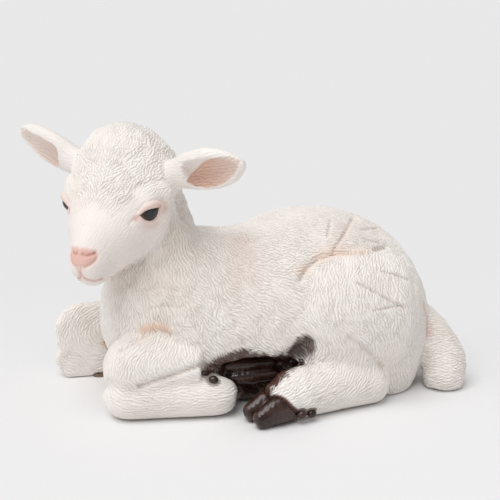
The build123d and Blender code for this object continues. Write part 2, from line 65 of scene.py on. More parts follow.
# The head's own directions, and the middle between its eyes
HEAD_YAW = math.radians(51)
HEAD_PITCH = math.radians(34)
EYE_MIDDLE = BASE_MIDDLE + (-100.57, -20.64, 119.3)
HEAD_LEVEL = np.array([-math.cos(HEAD_YAW), -math.sin(HEAD_YAW), 0.0])
HEAD_LEFT = np.array([math.sin(HEAD_YAW), -math.cos(HEAD_YAW), 0.0])
UPRIGHT = np.array([0.0, 0.0, 1.0])
FACE_AXIS = HEAD_LEVEL * math.cos(HEAD_PITCH) - UPRIGHT * math.sin(HEAD_PITCH)
FACE_NORMAL = HEAD_LEVEL * math.sin(HEAD_PITCH) + UPRIGHT * math.cos(HEAD_PITCH)
BODY_MIDDLE = BASE_MIDDLE[1]
RIGHT_FORELEG_AHEAD = 24.9
FACE_LENGTH = 46.0
MUZZLE_TURN = 3.8

CASTINGS = (
    "torso",
    "head",
    "left_ear",
    "right_ear",
    "left_foreleg",
    "right_foreleg",
    "left_hind_leg",
    "right_hind_leg",
    "tail",
)
TORSO, HEAD, LEFT_EAR, RIGHT_EAR, LEFT_FORE, RIGHT_FORE, LEFT_HIND, RIGHT_HIND, TAIL = range(9)
PLUGS = ("base_plate", "left_eye", "right_eye")
VOXEL = 1.04

# Comb strokes, as pixels of the photograph from a lock's root to its tip
TORSO_COMB = (
    ((178, 228), (184, 240), (192, 252)),
    ((170, 240), (171, 255), (172, 275)),
    ((186, 236), (196, 250), (206, 264)),
    ((200, 240), (208, 255), (218, 272)),
    ((160, 262), (162, 278), (166, 292)),
    ((176, 262), (182, 280), (190, 300)),
    ((196, 262), (206, 280), (216, 296)),
    ((212, 250), (226, 266), (240, 280)),
    ((228, 240), (240, 250), (252, 256)),
    ((120, 285), (118, 300), (114, 318)),
    ((135, 285), (134, 300), (130, 318)),
    ((150, 290), (153, 308), (158, 322)),
    ((168, 292), (175, 310), (184, 328)),
    ((190, 300), (202, 318), (214, 334)),
    ((214, 296), (228, 310), (240, 322)),
    ((236, 282), (250, 290), (264, 298)),
    ((250, 236), (268, 238), (290, 240)),
    ((252, 256), (270, 259), (292, 262)),
    ((256, 272), (272, 276), (292, 282)),
    ((262, 298), (278, 308), (292, 318)),
    ((240, 322), (256, 334), (270, 346)),
    ((218, 334), (232, 346), (244, 356)),
    ((270, 310), (284, 322), (294, 334)),
    ((196, 322), (206, 336), (214, 350)),
    ((182, 330), (190, 345), (198, 360)),
    ((240, 222), (262, 216), (285, 212)),
    ((285, 215), (310, 214), (335, 219)),
    ((300, 228), (320, 230), (342, 232)),
    ((335, 222), (355, 230), (372, 240)),
    ((300, 250), (318, 247), (336, 246)),
    ((345, 240), (362, 246), (380, 252)),
    ((370, 236), (385, 250), (396, 266)),
    ((396, 262), (406, 282), (411, 298)),
    ((408, 300), (413, 320), (415, 340)),
    ((400, 345), (404, 360), (404, 370)),
)
HIND_COMB = (
    ((316, 268), (306, 284), (303, 302)),
    ((303, 302), (305, 318), (312, 334)),
    ((312, 334), (322, 346), (336, 352)),
    ((330, 266), (322, 284), (320, 302)),
    ((320, 302), (326, 318), (342, 328)),
    ((342, 328), (356, 334), (368, 340)),
    ((345, 262), (342, 282), (344, 300)),
    ((344, 300), (352, 316), (366, 326)),
    ((365, 262), (366, 280), (370, 300)),
    ((370, 300), (376, 320), (380, 340)),
    ((385, 268), (390, 290), (394, 312)),
    ((394, 312), (396, 334), (396, 352)),
    ((336, 340), (352, 352), (366, 364)),
    ((368, 340), (378, 352), (384, 364)),
    ((372, 352), (360, 362), (348, 376)),
    ((350, 360), (336, 368), (322, 380)),
    ((326, 362), (310, 370), (296, 380)),
    ((380, 372), (366, 380), (350, 388)),
    ((344, 380), (328, 386), (312, 394)),
    ((306, 366), (290, 376), (276, 388)),
    ((320, 384), (304, 392), (290, 402)),
)
FORE_COMB = (
    ((160, 338), (150, 350), (140, 366)),
    ((140, 345), (128, 356), (118, 368)),
    ((176, 342), (170, 356), (164, 370)),
    ((192, 352), (186, 360), (180, 370)),
    ((120, 360), (112, 372), (109, 384)),
    ((112, 388), (130, 394), (150, 394)),
    ((150, 387), (170, 384), (190, 380)),
    ((120, 400), (145, 404), (170, 404)),
    ((170, 396), (195, 394), (215, 392)),
    ((175, 406), (200, 406), (222, 402)),
    ((200, 386), (212, 386), (224, 388)),
)
TAIL_COMB = (
    ((424, 330), (436, 328), (450, 332)),
    ((424, 345), (440, 342), (458, 346)),
    ((424, 360), (440, 358), (461, 360)),
    ((428, 372), (442, 374), (457, 372)),
)
FACE_COMB = (
    ((100, 200), (94, 216), (88, 234)),
    ((120, 205), (110, 222), (98, 240)),
    ((132, 225), (118, 236), (104, 248)),
    ((150, 230), (132, 242), (112, 254)),
    ((166, 215), (164, 232), (150, 246)),
    ((160, 190), (150, 196), (140, 202)),
    ((150, 250), (132, 262), (112, 270)),
)

CAP_COMB = (
    ((150, 138), (147, 148), (142, 158)),
    ((162, 150), (157, 158), (151, 166)),
    ((122, 138), (118, 150), (114, 162)),
    ((97, 142), (94, 155), (91, 168)),
    ((146, 164), (140, 171), (133, 179)),
    ((162, 171), (153, 175), (144, 180)),
    ((174, 168), (169, 176), (162, 181)),
    ((110, 168), (106, 178), (100, 188)),
    ((131, 181), (122, 189), (112, 196)),
    ((126, 195), (113, 201), (100, 206)),
    ((88, 174), (87, 185), (86, 196)),
)

# Where the wool cap ends on the face, as pixels from the brow's middle round to the jaw
FRINGE = (
    (84, 190),
    (95, 196),
    (110, 199),
    (124, 199),
    (134, 192),
    (140, 184),
    (152, 181),
    (164, 182),
    (171, 192),
    (172, 212),
    (170, 232),
    (160, 248),
    (140, 264),
    (112, 279),
)
EYE_OUTLINE = (
    (140.2, 215.4),
    (142.5, 218.6),
    (146.0, 220.8),
    (149.5, 221.4),
    (153.5, 220.2),
    (156.8, 217.2),
    (158.6, 213.2),
    (159.6, 209.0),
    (160.6, 205.2),
    (156.5, 205.4),
    (151.5, 206.4),
    (147.0, 208.6),
    (143.0, 211.8),
)


def only(*objects):
    bpy.ops.object.select_all(action="DESELECT")
    for ob in objects:
        ob.select_set(True)
    bpy.context.view_layer.objects.active = objects[0] if objects else None


def apply_modifier(ob, kind, **settings):
    only(ob)
    modifier = ob.modifiers.new(kind.lower(), kind)
    for key, value in settings.items():
        setattr(modifier, key, value)
    bpy.ops.object.modifier_apply(modifier=modifier.name)


def points_of(mesh):
    flat = np.empty(len(mesh.vertices) * 3, np.float32)
    mesh.vertices.foreach_get("co", flat)
    return flat.reshape(-1, 3).astype(np.float64) / MM


def normals_of(mesh):
    flat = np.empty(len(mesh.vertices) * 3, np.float32)
    mesh.vertex_normals.foreach_get("vector", flat)
    return flat.reshape(-1, 3).astype(np.float64)


def edges_of(mesh):
    flat = np.empty(len(mesh.edges) * 2, np.int32)
    mesh.edges.foreach_get("vertices", flat)
    return flat.reshape(-1, 2)


def place_points(mesh, points):
    mesh.vertices.foreach_set("co", (points * MM).astype(np.float32).ravel())
    mesh.update()


def write_values(mesh, name, values):
    layer = mesh.attributes.new(name, "FLOAT", "POINT")
    layer.data.foreach_set("value", np.asarray(values, np.float32))


def write_vectors(mesh, name, vectors):
    layer = mesh.attributes.new(name, "FLOAT_VECTOR", "POINT")
    layer.data.foreach_set("vector", np.asarray(vectors, np.float32).ravel())


def read_vectors(mesh, name):
    flat = np.empty(len(mesh.vertices) * 3, np.float32)
    mesh.attributes[name].data.foreach_get("vector", flat)
    return flat.reshape(-1, 3).astype(np.float64)


def unit(vectors):
    return vectors / np.maximum(np.linalg.norm(vectors, axis=-1, keepdims=True), 1e-9)


def step(low, high, values):
    """A smooth step from 0 at low to 1 at high."""
    share = np.clip((values - low) / (high - low), 0, 1)
    return share * share * (3 - 2 * share)


def neighbour_mean(values, edges):
    count = len(values)
    ends = np.concatenate([edges[:, 0], edges[:, 1]])
    others = np.concatenate([edges[:, 1], edges[:, 0]])
    degree = np.maximum(np.bincount(ends, minlength=count), 1)
    if values.ndim == 1:
        return np.bincount(ends, values[others], count) / degree
    columns = [np.bincount(ends, values[others, k], count) / degree for k in range(values.shape[1])]
    return np.stack(columns, axis=1)


def relax(values, edges, rounds, weight=1.0):
    """Values eased towards their neighbours' mean."""
    weight = np.asarray(weight, float)
    if values.ndim == 2 and weight.ndim == 1:
        weight = weight[:, None]
    for _ in range(rounds):
        values = values + weight * 0.5 * (neighbour_mean(values, edges) - values)
    return values


def soft_noise(points, size, seed):
    """Smooth noise from -1 to 1, with lumps about that size."""
    rng = np.random.default_rng(seed)
    table = rng.uniform(-1, 1, 4096)
    scaled = points / size
    base = np.floor(scaled).astype(np.int64)
    part = scaled - base
    part = part * part * (3 - 2 * part)
    total = np.zeros(len(points))
    for dx in (0, 1):
        for dy in (0, 1):
            for dz in (0, 1):
                key = (base[:, 0] + dx) * 73856093 ^ (base[:, 1] + dy) * 19349663
                key = key ^ (base[:, 2] + dz) * 83492791
                share = (part[:, 0] if dx else 1 - part[:, 0]) * (part[:, 1] if dy else 1 - part[:, 1])
                total += table[key % 4096] * share * (part[:, 2] if dz else 1 - part[:, 2])
    return total


# Camera and rays through the photograph's pixels

VIEW_BACK = Vector(
    (
        math.sin(VIEW_AZIMUTH) * math.cos(VIEW_ELEVATION),
        -math.cos(VIEW_AZIMUTH) * math.cos(VIEW_ELEVATION),
        math.sin(VIEW_ELEVATION),
    )
)
VIEW_PLACE = np.array(VIEW_TARGET + VIEW_BACK * VIEW_DISTANCE) / MM
VIEW_AHEAD = -np.array(VIEW_BACK)
VIEW_RIGHT = unit(np.cross(VIEW_AHEAD, UPRIGHT))
VIEW_UP = np.cross(VIEW_RIGHT, VIEW_AHEAD)


def make_camera():
    camera = bpy.data.objects.new("photo_camera", bpy.data.cameras.new("photo_camera"))
    camera.data.sensor_width = SENSOR_WIDTH
    camera.data.lens = SENSOR_WIDTH * FOCAL_PIXELS / IMAGE_SIDE
    camera.location = VIEW_TARGET + VIEW_BACK * VIEW_DISTANCE
    camera.rotation_euler = (-VIEW_BACK).to_track_quat("-Z", "Y").to_euler()
    bpy.context.scene.collection.objects.link(camera)
    bpy.context.scene.camera = camera


def pixel_ray(x, y):
    ray = VIEW_AHEAD * FOCAL_PIXELS + VIEW_RIGHT * (x - IMAGE_SIDE / 2) - VIEW_UP * (y - IMAGE_SIDE / 2)
    return ray / np.linalg.norm(ray)


def to_pixels(points):
    offset = points - VIEW_PLACE
    deep = offset @ VIEW_AHEAD
    x = IMAGE_SIDE / 2 + FOCAL_PIXELS * (offset @ VIEW_RIGHT) / deep
    y = IMAGE_SIDE / 2 - FOCAL_PIXELS * (offset @ VIEW_UP) / deep
    return np.stack([x, y], axis=1)


def dense(pixels, spacing=1.0):
    """The same run of pixels with points no further apart than spacing."""
    run = []
    for (x0, y0), (x1, y1) in zip(pixels, pixels[1:]):
        count = max(1, math.ceil(math.hypot(x1 - x0, y1 - y0) / spacing))
        run += [(x0 + (x1 - x0) * k / count, y0 + (y1 - y0) * k / count) for k in range(count)]
    return run + [pixels[-1]]


class Tracer:
    """Drops pixels of the photograph onto the clay."""

    def __init__(self, ob):
        self.tree = BVHTree.FromObject(ob, bpy.context.evaluated_depsgraph_get())

    def __call__(self, pixels):
        hits = []
        for x, y in pixels:
            spot, _, _, _ = self.tree.ray_cast(Vector(VIEW_PLACE * MM), Vector(pixel_ray(x, y)))
            if spot is not None:
                hits.append(np.array(spot) / MM)
        return np.array(hits).reshape(-1, 3)


def far_from(points, run, reach):
    """Each point's distance to a run of spots, where it is under reach, or else reach."""
    distance = np.full(len(points), float(reach))
    if not len(run):
        return distance
    near = np.all((points > run.min(0) - reach) & (points < run.max(0) + reach), axis=1).nonzero()[0]
    for start in range(0, len(near), 20000):
        some = near[start : start + 20000]
        gaps = np.linalg.norm(points[some, None, :] - run[None, :, :], axis=2).min(1)
        distance[some] = np.minimum(gaps, reach)
    return distance


# Clay


def clay_of(names):
    copies = []
    for name in names:
        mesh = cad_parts[name].data.copy()
        mesh.materials.clear()
        copies.append(bpy.data.objects.new("clay_" + name, mesh))
        bpy.context.scene.collection.objects.link(copies[-1])
    only(*copies)
    bpy.ops.object.join()
    bpy.ops.object.mode_set(mode="EDIT")
    bpy.ops.mesh.select_all(action="SELECT")
    bpy.ops.mesh.remove_doubles(threshold=1e-6)
    bpy.ops.object.mode_set(mode="OBJECT")
    return copies[0]


def keep_largest(ob):
    only(ob)
    bpy.ops.mesh.separate(type="LOOSE")
    parts = list(bpy.context.selected_objects)
    parts.sort(key=lambda part: len(part.data.vertices))
    for part in parts[:-1]:
        bpy.data.objects.remove(part)
    return parts[-1]


def nearest_casting(points):
    corners, faces, owners = [], [], []
    start = 0
    for label, name in enumerate(CASTINGS):
        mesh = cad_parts[name].data
        flat = np.empty(len(mesh.vertices) * 3, np.float32)
        mesh.vertices.foreach_get("co", flat)
        loops = np.empty(len(mesh.loops), np.int32)
        mesh.loops.foreach_get("vertex_index", loops)
        corners.append(flat.reshape(-1, 3))
        faces.append(loops.reshape(-1, 3) + start)
        owners.append(np.full(len(faces[-1]), label))
        start += len(mesh.vertices)
    tree = BVHTree.FromPolygons(np.concatenate(corners).tolist(), np.concatenate(faces).tolist())
    owners = np.concatenate(owners)
    found = np.array([tree.find_nearest(Vector(p))[2] for p in points * MM])
    return owners[found]


def tidy_labels(labels, edges, rounds=4):
    """Ragged borders eased, and stray islands given to the casting around them."""
    kinds = len(CASTINGS)
    for _ in range(rounds):
        votes = np.stack([neighbour_mean((labels == k).astype(float), edges) for k in range(kinds)], axis=1)
        votes[np.arange(len(labels)), labels] += 0.26
        labels = votes.argmax(1)
    order = np.argsort(np.concatenate([edges[:, 0], edges[:, 1]]), kind="stable")
    others = np.concatenate([edges[:, 1], edges[:, 0]])[order]
    ends = np.concatenate([edges[:, 0], edges[:, 1]])[order]
    first = np.searchsorted(ends, np.arange(len(labels) + 1)).tolist()
    others = others.tolist()
    for _ in range(3):
        plain = labels.tolist()
        island = [-1] * len(plain)
        members = []
        for seed in range(len(plain)):
            if island[seed] >= 0:
                continue
            island[seed] = len(members)
            stack, group = [seed], [seed]
            while stack:
                at = stack.pop()
                for k in range(first[at], first[at + 1]):
                    other = others[k]
                    if island[other] < 0 and plain[other] == plain[at]:
                        island[other] = len(members)
                        stack.append(other)
                        group.append(other)
            members.append(group)
        largest = {}
        for group in members:
            kind = plain[group[0]]
            if len(group) > len(largest.get(kind, ())):
                largest[kind] = group
        strays = [group for group in members if group is not largest[plain[group[0]]]]
        if not strays:
            break
        for group in strays:
            inside = set(group)
            beside = [others[k] for at in group for k in range(first[at], first[at + 1])]
            around = [plain[other] for other in beside if other not in inside]
            labels[group] = max(set(around), key=around.count)
    return labels


def from_mid_plane(points):
    """How far points are to the left of the head's middle, which bends a little towards the nose."""
    offset = points - EYE_MIDDLE
    return offset @ HEAD_LEFT - MUZZLE_TURN * (np.maximum(offset @ FACE_AXIS, 0) / FACE_LENGTH) ** 2


def near_side(points, labels):
    """The points with the far half of the body and head folded over onto the near half, and which were."""
    folded = points.copy()
    across = from_mid_plane(points)
    on_head = np.isin(labels, (HEAD, LEFT_EAR, RIGHT_EAR))
    head_flip = on_head & (across < 0)
    folded[head_flip] -= 2 * across[head_flip, None] * HEAD_LEFT
    body_flip = ~on_head & (points[:, 1] > BODY_MIDDLE)
    folded[body_flip, 1] = 2 * BODY_MIDDLE - points[body_flip, 1]
    folded[labels == RIGHT_FORE, 0] += RIGHT_FORELEG_AHEAD
    return folded, head_flip, body_flip


def head_places(points):
    """Along the face, and round it from the brow (0) to the chin (half a turn)."""
    offset = points - EYE_MIDDLE
    along = offset @ FACE_AXIS
    turn = np.arctan2(np.abs(from_mid_plane(points)), offset @ FACE_NORMAL + 9.0)
    return along, turn


def comb_direction(points, strokes, trace, spread=11.0):
    """The mean direction of the comb strokes around each point."""
    spots, ways = [], []
    for stroke in strokes:
        run = trace(dense(stroke, 4.0))
        if len(run) < 2:
            continue
        spots.append((run[1:] + run[:-1]) / 2)
        ways.append(unit(run[1:] - run[:-1]))
    spots, ways = np.concatenate(spots), np.concatenate(ways)
    mean = np.zeros_like(points)
    for start in range(0, len(points), 20000):
        some = points[start : start + 20000]
        gap = ((some[:, None, :] - spots[None]) ** 2).sum(2)
        weight = np.exp(-gap / (2 * spread**2)) + 1e-3 / (1 + gap / 400)
        mean[start : start + 20000] = weight @ ways
    return unit(mean)


def wave_trains(points, centres, normals, along, pitch, half_length, half_width, seed):
    """The sum, as complex numbers, of short wave trains laid on a surface across the comb's direction."""
    rng = np.random.default_rng(seed)
    across = np.cross(normals, along)
    turn = rng.uniform(0, 2 * np.pi, len(centres))
    cell = half_length.max() * 2.1
    shift = points.min(0) - 2 * cell
    spot = np.floor((points - shift) / cell).astype(np.int64)
    home = np.floor((centres - shift) / cell).astype(np.int64)
    row, layer = 4096, 4096 * 4096
    keys = spot[:, 0] * layer + spot[:, 1] * row + spot[:, 2]
    order = np.argsort(keys, kind="stable")
    sorted_keys = keys[order]
    sorted_points = points[order].astype(np.float32)
    real, imaginary = np.zeros(len(points)), np.zeros(len(points))
    tables = [table.astype(np.float32) for table in (centres, along, across, normals)]
    wave = (2 * np.pi / pitch).astype(np.float32)
    along_rate = (1 / (2 * half_length**2)).astype(np.float32)
    across_rate = (1 / (2 * half_width**2)).astype(np.float32)
    for dx in (-1, 0, 1):
        for dy in (-1, 0, 1):
            for dz in (-1, 0, 1):
                key = (home[:, 0] + dx) * layer + (home[:, 1] + dy) * row + home[:, 2] + dz
                first = np.searchsorted(sorted_keys, key, "left")
                count = np.searchsorted(sorted_keys, key, "right") - first
                source = np.repeat(np.arange(len(centres)), count)
                if not len(source):
                    continue
                place = np.arange(len(source)) + np.repeat(first - np.cumsum(count) + count, count)
                gap = sorted_points[place] - tables[0][source]
                u = (gap * tables[1][source]).sum(1)
                v = (gap * tables[2][source]).sum(1)
                w = (gap * tables[3][source]).sum(1)
                swell = np.exp(-u * u * along_rate[source] - (v * v + w * w) * across_rate[source])
                angle = v * wave[source] + turn[source].astype(np.float32)
                real += np.bincount(place, swell * np.cos(angle), len(points))
                imaginary += np.bincount(place, swell * np.sin(angle), len(points))
    field = np.empty(len(points), complex)
    field[order] = real + 1j * imaginary
    return field


def carve(points, normals, folded, strokes, trace, weight):
    """Points pushed in along drawn creases, or out where the depth is negative."""
    for pixels, width, depth in strokes:
        gap = far_from(folded, trace(dense(pixels)), width * 2.6)
        push = weight * depth * np.exp(-((gap / width) ** 2)) * (gap < width * 2.55)
        points = points - normals * push[:, None]
    return points


def inside_outline(spots, outline):
    """Which pixels lie inside a closed outline."""
    inside = np.zeros(len(spots), bool)
    x, y = spots[:, 0], spots[:, 1]
    for (x0, y0), (x1, y1) in zip(outline, outline[1:] + outline[:1]):
        crosses = (y0 > y) != (y1 > y)
        inside ^= crosses & (x < (x1 - x0) * (y - y0) / (y1 - y0 + 1e-12) + x0)
    return inside


# Creases of the body: pixels, half width and depth
THIGH_TOP = ((301, 280), (303, 275), (308, 267), (319, 258), (336, 253.5), (356, 252.5), (372, 252), (386, 247))
BODY_CREASES = (
    (THIGH_TOP, 1.8, 2.1),
    (((146, 290), (160, 288), (178, 292)), 1.3, 0.8),
    (((150, 309), (164, 306), (180, 308)), 1.3, 0.7),
    (((224, 302), (231, 313), (237, 326)), 1.5, 0.8),
    (((140, 387), (151, 383.5), (170, 377), (188, 370.5), (204, 365)), 1.7, 2.3),
    (((119, 352), (130, 345), (141, 337.5), (150, 333), (160, 331), (171, 335)), 1.6, 1.2),
    (((350, 338), (362, 347), (374, 358), (384, 368), (388, 378)), 1.9, 1.6),
    (((357, 283), (372, 291), (388, 300), (405, 309)), 0.9, 1.1),
    (((382, 271.5), (395, 275), (409, 280)), 0.9, 1.0),
    (((374, 311), (390, 308), (404, 306)), 0.9, 0.8),
    (((331, 220), (328, 236)), 1.0, 1.1),
    (((353, 219), (346, 232), (334, 250)), 1.1, 1.3),
    (((362, 229.5), (377, 228)), 1.0, 1.1),
    (((366, 240), (380, 243)), 1.0, 0.9),
)
# The hollow where the tucked hoof shows above the hind leg
TUCK_HOLLOW = (((290, 357), (297, 352), (303, 348), (309, 344)), 4.4, 4.0)
# The nape, thinned under the near ear
NAPE_STROKES = (
    (((183, 194), (187, 206), (191, 214)), 8.5),
    (((197, 222), (206, 226), (217, 228)), 3.2),
)
FACE_CREASES = (
    (((150, 196), (157, 192), (163, 192)), 7.0, -3.0),
    (((139, 216), (135, 219), (131, 223)), 1.3, 0.6),
    (((160, 204), (164, 202), (168, 203)), 1.2, 0.5),
    (((138, 211), (144, 205), (152, 202), (161, 200)), 1.2, 0.5),
    (((82, 254), (86, 255.5), (91, 254.5), (95, 253)), 0.9, 1.5),
    (((96, 252), (98.3, 256), (96.5, 260.5), (91.5, 264.5), (85.5, 267.5)), 0.9, 0.7),
    (((80, 267), (79.8, 271), (80, 275)), 0.8, 0.7),
    (((80, 276), (86, 280.5), (95, 282), (103.5, 279.5)), 0.9, 1.0),
    (((133, 191), (140, 184.5), (152, 181.5), (164, 182)), 1.6, 0.9),
    (((159, 246), (147, 255), (139, 265)), 1.6, 0.5),
    (((173, 193), (174, 212), (171, 232), (161, 248), (146, 258), (128, 267), (110, 278)), 2.2, 1.5),
    (((166, 196), (168, 212), (165, 230), (156, 244), (142, 254), (125, 262)), 3.2, -0.8),
)
NOSE_OUTLINE = (
    (82, 247.5),
    (90, 248.8),
    (96, 250.8),
    (99, 254.5),
    (98.3, 259),
    (95, 263.2),
    (91, 266.2),
    (86, 268.4),
    (80, 268.4),
    (74, 262),
    (72, 252),
)

# Ears, as the castings hold them: sideways sign, rise and backward sweep
EAR_POSES = {LEFT_EAR: (1, 12.0, -7.0), RIGHT_EAR: (-1, 20.0, 4.0)}
EAR_ROOT = (-18.36, 26.91, 17.49)
EAR_LENGTH = 55.0
EAR_ROLL = math.radians(30)


# The bare inside of the near ear, below its folded upper half
EAR_INSIDE = (
    (187, 182),
    (191, 175),
    (197, 168.5),
    (204, 162.5),
    (211.5, 159),
    (221, 157.5),
    (231, 157),
    (241, 158),
    (241, 162),
    (237, 169),
    (232, 176),
    (224, 182.5),
    (214, 187),
    (205, 188),
    (195, 186.5),
)


def ear_frame(label):
    """An ear's root, and its directions along, across and ahead."""
    side, rise, sweep = EAR_POSES[label]
    ahead, out, up = EAR_ROOT
    root = EYE_MIDDLE + HEAD_LEVEL * ahead + UPRIGHT * up + HEAD_LEFT * side * out
    axis = unit(HEAD_LEFT * side * EAR_LENGTH - HEAD_LEVEL * sweep + UPRIGHT * rise)
    upward = unit(UPRIGHT - axis * (UPRIGHT @ axis))
    onward = HEAD_LEVEL - axis * (HEAD_LEVEL @ axis)
    onward = unit(onward - upward * (onward @ upward))
    across = upward * math.cos(EAR_ROLL) + onward * math.sin(EAR_ROLL)
    return root, axis, across, onward * math.cos(EAR_ROLL) - upward * math.sin(EAR_ROLL)


def ear_inside(points, normals, labels, trace):
    """How far each point is on the bare inside of an ear, and how far along the ear it is."""
    root, axis, across, ahead = ear_frame(LEFT_EAR)
    drawn = trace(EAR_INSIDE) - root
    drawn = drawn[np.abs(drawn @ ahead) < 14]
    outline = tuple(zip(drawn @ axis, drawn @ across))
    inside, share = np.zeros(len(points)), np.zeros(len(points))
    for label in EAR_POSES:
        root, axis, across, ahead = ear_frame(label)
        offset = points - root
        flat = np.stack([offset @ axis, offset @ across], 1)
        mine = (labels == label) & inside_outline(flat, outline)
        inside[mine] = step(-0.4, 0.2, normals[mine] @ ahead)
        share[mine] = flat[mine, 0] / EAR_LENGTH
    return inside, share


def face_corners(mesh):
    loops = np.empty(len(mesh.loops), np.int32)
    mesh.loops.foreach_get("vertex_index", loops)
    return loops.reshape(-1, 4)


def most_common(corners):
    """The label that most of each face's four corners have."""
    votes = (corners[:, :, None] == corners[:, None, :]).sum(2)
    return corners[np.arange(len(corners)), votes.argmax(1)]


# Paint washes: pixels, half width and strength
PINK_WASHES = (
    (EYE_OUTLINE + EYE_OUTLINE[:1], 2.0, 0.42),
    (((140, 216), (136, 219)), 1.5, 0.7),
    (((162, 205), (164, 210)), 2.6, 0.5),
    (((146, 225), (155, 225)), 3.2, 0.32),
    (((80, 268), (80, 275)), 1.2, 0.6),
    (((80, 276), (86, 280.5), (95, 282), (103.5, 279.5)), 1.2, 0.6),
    (((238, 240), (244, 256), (248, 278)), 9.0, 0.17),
    (((345, 226), (340, 238), (330, 250)), 6.0, 0.14),
    (((82, 254), (87, 255.5), (95, 253.5)), 1.3, 0.9),
    (((424, 306), (427, 318), (427, 334)), 3.0, 0.5),
)
PEACH_WASHES = (
    (((143, 330), (150, 327), (160, 327), (168, 330)), 2.4, 0.65),
    (((318, 257), (332, 252), (350, 251), (366, 249)), 3.4, 0.28),
    (((300, 270), (306, 268)), 2.6, 0.35),
)
# Painted shade along the body's creases and down the neck under the jaw; the last two are brown dust at the
# near foreleg's end and by its dewclaw.
SHADE_AND_DUST_WASHES = tuple((pixels, 1.1, 0.24) for pixels, _, _ in BODY_CREASES) + (
    (((186, 212), (177, 238), (163, 258), (142, 272), (118, 284)), 7.0, 0.34),
    (((198, 236), (196, 262), (182, 282), (156, 290)), 15.0, 0.26),
    (((238, 384), (240, 394), (238, 403)), 3.2, 0.55),
    (((204, 372), (212, 373)), 3.6, 0.5),
)
# Brown ground round the hooves of the near side, as outlines
BROWN_FIELDS = (
    ((283, 367), (284, 355), (293, 343), (302, 333), (310, 336), (316, 344), (318, 352), (302, 359)),
    ((199, 368), (210, 362), (226, 352), (243, 348), (262, 351), (276, 360), (286, 365), (272, 378))
    + ((262, 392), (248, 408), (239, 402), (236, 386), (223, 369), (212, 369), (205, 371)),
)
# The brown pockets under the flanks, from the base plate's middle
POCKETS = ((-20.40, -47.17, 17.05), (-44.88, 47.17, 17.05))
POCKET_HALVES = np.array([34, 15, 17])

# Carved wool: depth of its grooves on each casting
WOOL_DEPTHS = {
    TORSO: 0.44,
    HEAD: 0.42,
    LEFT_EAR: 0.14,
    RIGHT_EAR: 0.14,
    LEFT_FORE: 0.30,
    RIGHT_FORE: 0.30,
    LEFT_HIND: 0.36,
    RIGHT_HIND: 0.36,
    TAIL: 0.48,
}
LOCK_COUNT = 36000
COMBS = (
    ((TORSO,), TORSO_COMB),
    ((HEAD,), CAP_COMB + FACE_COMB + TORSO_COMB),
    ((LEFT_HIND, RIGHT_HIND), HIND_COMB),
    ((LEFT_FORE, RIGHT_FORE), FORE_COMB),
    ((TAIL,), TAIL_COMB),
)


make_camera()
clay = clay_of(CASTINGS + PLUGS)
apply_modifier(clay, "REMESH", mode="VOXEL", voxel_size=VOXEL * MM)
clay = keep_largest(clay)
clay.name = "clay"
points, edges = points_of(clay.data), edges_of(clay.data)
labels = tidy_labels(nearest_casting(points), edges)
ease = np.where(np.isin(labels, (LEFT_EAR, RIGHT_EAR)), 0.35, 1.0)
ease[points[:, 2] < 1.2] = 0
points = relax(points, edges, 12, ease)
place_points(clay.data, points)
face_labels = most_common(labels[face_corners(clay.data)])
clay.data.polygons.foreach_set("material_index", face_labels.astype(np.int32))
apply_modifier(clay, "SUBSURF", levels=1, render_levels=1)
bpy.ops.object.shade_smooth()

mesh = clay.data
points, normals, edges = points_of(mesh), normals_of(mesh), edges_of(mesh)
face_labels = np.empty(len(mesh.polygons), np.int32)
mesh.polygons.foreach_get("material_index", face_labels)
corners = face_corners(mesh)
labels = np.zeros(len(points), np.int32)
for k in range(4):
    labels[corners[:, k]] = face_labels
trace = Tracer(clay)
folded, head_flip, body_flip = near_side(points, labels)
on_head = labels == HEAD
on_ear = np.isin(labels, (LEFT_EAR, RIGHT_EAR))
rough_edge = soft_noise(folded, 3.0, RANDOM_SEED) + 0.6 * soft_noise(folded, 1.5, RANDOM_SEED + 1)

# Face and wool cap
fringe_along, fringe_turn = head_places(trace(dense(FRINGE, 2.0)))
order = np.argsort(fringe_turn)
along, turn = head_places(folded)
ahead_of_fringe = along - np.interp(turn, fringe_turn[order], fringe_along[order])
high_up = step(108, 122, points[:, 2])
face = np.where(on_head, step(-2.0, 12.0, ahead_of_fringe + 2.0 * rough_edge), 0.0)
cap = np.where(on_head, step(2.0, -4.0, ahead_of_fringe), 0.0) * high_up
rise = np.where(on_head, step(3.0, -5.0, ahead_of_fringe + 1.2 * rough_edge), 0.0)
rise = relax(rise * high_up, edges, 10)
points = points + normals * (0.7 * rise - 0.4 * face)[:, None]

# Thinner nape, and hollow ears
nape = np.zeros(len(points))
for pixels, value in NAPE_STROKES:
    gap = far_from(folded, trace(dense(pixels)), 20.0)
    nape = np.maximum(nape, value * np.exp(-((gap / 8.0) ** 2)) * (gap < 19.5))
near_ear = relax(on_ear.astype(float), edges, 80)
clear_of_ear = step(0.25, 0.02, near_ear)
bare, ear_share = ear_inside(points, normals, labels, trace)
points = points - normals * (relax(nape * clear_of_ear, edges, 30) + 0.9 * relax(bare, edges, 4))[:, None]

# Eyelids round the almond opening
outline_run = trace(dense(EYE_OUTLINE + EYE_OUTLINE[:1], 0.4))
lid_gap = np.where(on_head, far_from(folded, outline_run, 8.0), 8.0)
in_eye = on_head & (lid_gap < 7.9) & inside_outline(to_pixels(folded), EYE_OUTLINE)
lid = 0.75 * np.exp(-(((lid_gap - 0.7) / 1.1) ** 2)) * ~in_eye
points = points + normals * (lid - 1.5 * step(0.0, 0.9, lid_gap) * in_eye)[:, None]
place_points(mesh, points)
normals = normals_of(mesh)
points = carve(points, normals, folded, BODY_CREASES + FACE_CREASES + (TUCK_HOLLOW,), trace, clear_of_ear)
points = relax(points, edges, 12, 4 * near_ear * (1 - near_ear))
place_points(mesh, points)
normals = normals_of(mesh)

